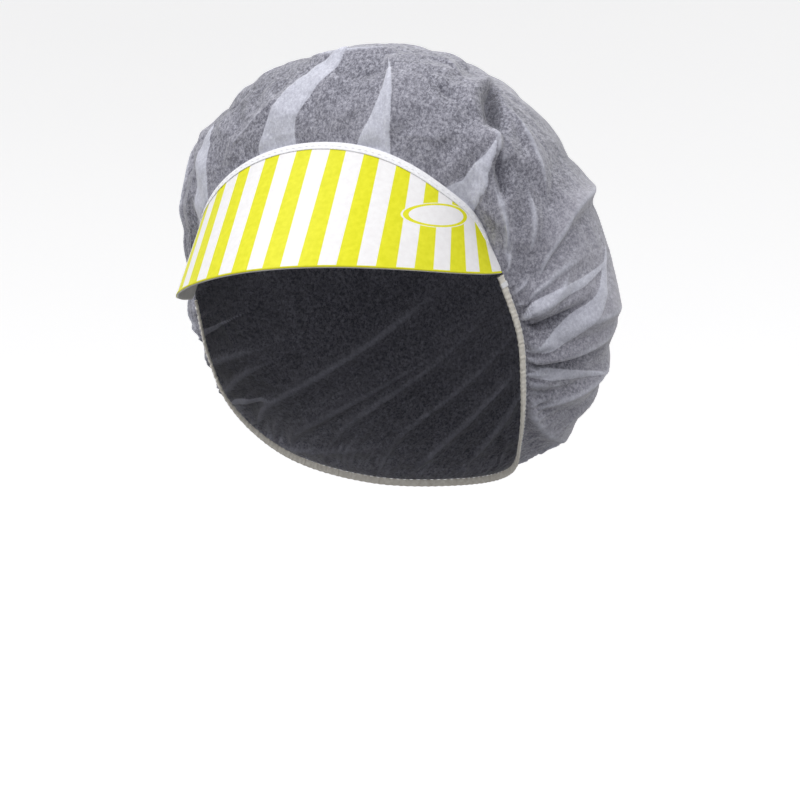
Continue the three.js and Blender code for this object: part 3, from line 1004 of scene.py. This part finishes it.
board = make_peak_layer("card_peak", -BOARD_FACE, BOARD_FACE, 240, 24)
printed = make_peak_layer("printed_face", PRINT_BACK, PRINT_FACE, 420, 60)
dress(board, CARD, "peak_board", "peak")
dress(printed, PRINT, "peak_print", "peak")
dress(make_seam_tape(), TAPE, "seam_tape", "peak")
dress(make_seam_thread(), THREAD, "seam_thread", "peak")
crown = dress(make_crown(), CROWN, "crown")
dress(make_hem_casing(), HEM, "hem_casing")
dress(make_elastic(), RUBBER, "elastic")
dress(make_hem_thread(), THREAD, "hem_thread")
dress(make_bartack("left_tack", BARTACK_SHARE), THREAD, "bartack_left")
dress(make_bartack("right_tack", 1 - BARTACK_SHARE), THREAD, "bartack_right")


# ---- floor, light and camera -------------------------------------------------------

STAGE_FLOOR_Z = -0.62
STAGE_RADIUS = 3.6
STAGE_BEND = 1.3
STAGE_HEIGHT = 4.5


def make_stage():
    """A round pale floor that curves up into a wall on every side, well clear of the cap."""
    flat = STAGE_RADIUS - STAGE_BEND
    bend = np.linspace(0, math.pi / 2, 16)
    radius = np.concatenate([[0.01, flat / 2], flat + STAGE_BEND * np.sin(bend), [STAGE_RADIUS]])
    height = np.concatenate([[0, 0], STAGE_BEND - STAGE_BEND * np.cos(bend), [STAGE_HEIGHT]]) + STAGE_FLOOR_Z
    turn = np.linspace(0, 2 * math.pi, 97)[:-1, None]
    points = np.stack([radius * np.cos(turn), radius * np.sin(turn), height + 0 * turn], -1) / MM
    faces = grid_faces(len(turn), len(radius), wrap_rows=True)
    stage = mesh_piece("pale_floor", points.reshape(-1, 3), faces)
    nodes = Nodes("pale_floor", roughness=0.9)
    nodes.shader.inputs["Emission Color"].default_value = (1, 1, 1, 1)
    nodes.shader.inputs["Emission Strength"].default_value = 0.32
    stage.data.materials.append(nodes.finish(srgb(253, 253, 254)))
    stage.visible_diffuse = False
    stage.visible_shadow = False


def area_light(name, place, target, size, power):
    data = bpy.data.lights.new(name, "AREA")
    data.size, data.energy = size, power
    light = bpy.data.objects.new(name, data)
    light.location = place
    light.rotation_mode = "QUATERNION"
    light.rotation_quaternion = (Vector(target) - Vector(place)).to_track_quat("-Z", "Y")
    bpy.context.scene.collection.objects.link(light)


def make_lights():
    """Soft light mostly from above and in front, over a world that dims towards the floor."""
    area_light("key", (-0.8, -1.3, 1.8), (0, 0, 0), 1.0, 29)
    area_light("fill", (1.5, -1.0, 1.0), (0, 0, 0), 1.4, 12)
    area_light("top", (0.2, 0.9, 1.6), (0, 0, 0), 1.2, 12)
    world = bpy.data.worlds.new("soft_studio")
    world.use_nodes = True
    nodes = world.node_tree.nodes
    place = nodes.new("ShaderNodeTexCoord")
    parts = nodes.new("ShaderNodeSeparateXYZ")
    level = nodes.new("ShaderNodeMapRange")
    for key, value in (("From Min", -1), ("From Max", 1), ("To Min", 0.12), ("To Max", 0.78)):
        level.inputs[key].default_value = value
    world.node_tree.links.new(place.outputs["Generated"], parts.inputs[0])
    world.node_tree.links.new(parts.outputs["Z"], level.inputs["Value"])
    world.node_tree.links.new(level.outputs[0], nodes["Background"].inputs["Strength"])
    nodes["Background"].inputs["Color"].default_value = (1, 1, 1, 1)
    bpy.context.scene.world = world


CAMERA_AZIMUTH = 25.9
CAMERA_ELEVATION = -3.6
CAMERA_ROLL = 2.95
CAMERA_DISTANCE = 1.3
CAMERA_AIM = (0.0026, -0.048)
CAMERA_LENS = 134.5


def make_camera():
    """The camera that the photo was taken with, as near as it can be judged."""
    a, e, roll = (math.radians(v) for v in (CAMERA_AZIMUTH, CAMERA_ELEVATION, CAMERA_ROLL))
    back = Vector((math.sin(a) * math.cos(e), -math.cos(a) * math.cos(e), math.sin(e)))
    right = Vector((math.cos(a), math.sin(a), 0))
    up = back.cross(right)
    place = back * CAMERA_DISTANCE
    aim = right * CAMERA_AIM[0] + up * CAMERA_AIM[1]
    forward = (aim - place).normalized()
    right = right * math.cos(roll) - up * math.sin(roll)
    right = (right - forward * right.dot(forward)).normalized()
    up = right.cross(forward)
    data = bpy.data.cameras.new("camera")
    data.lens = CAMERA_LENS
    camera = bpy.data.objects.new("camera", data)
    camera.matrix_world = Matrix((
        (right.x, up.x, -forward.x, place.x),
        (right.y, up.y, -forward.y, place.y),
        (right.z, up.z, -forward.z, place.z),
        (0, 0, 0, 1),
    ))
    bpy.context.scene.collection.objects.link(camera)
    bpy.context.scene.camera = camera


make_stage()
make_lights()
make_camera()
bpy.context.scene.view_settings.view_transform = "Standard"
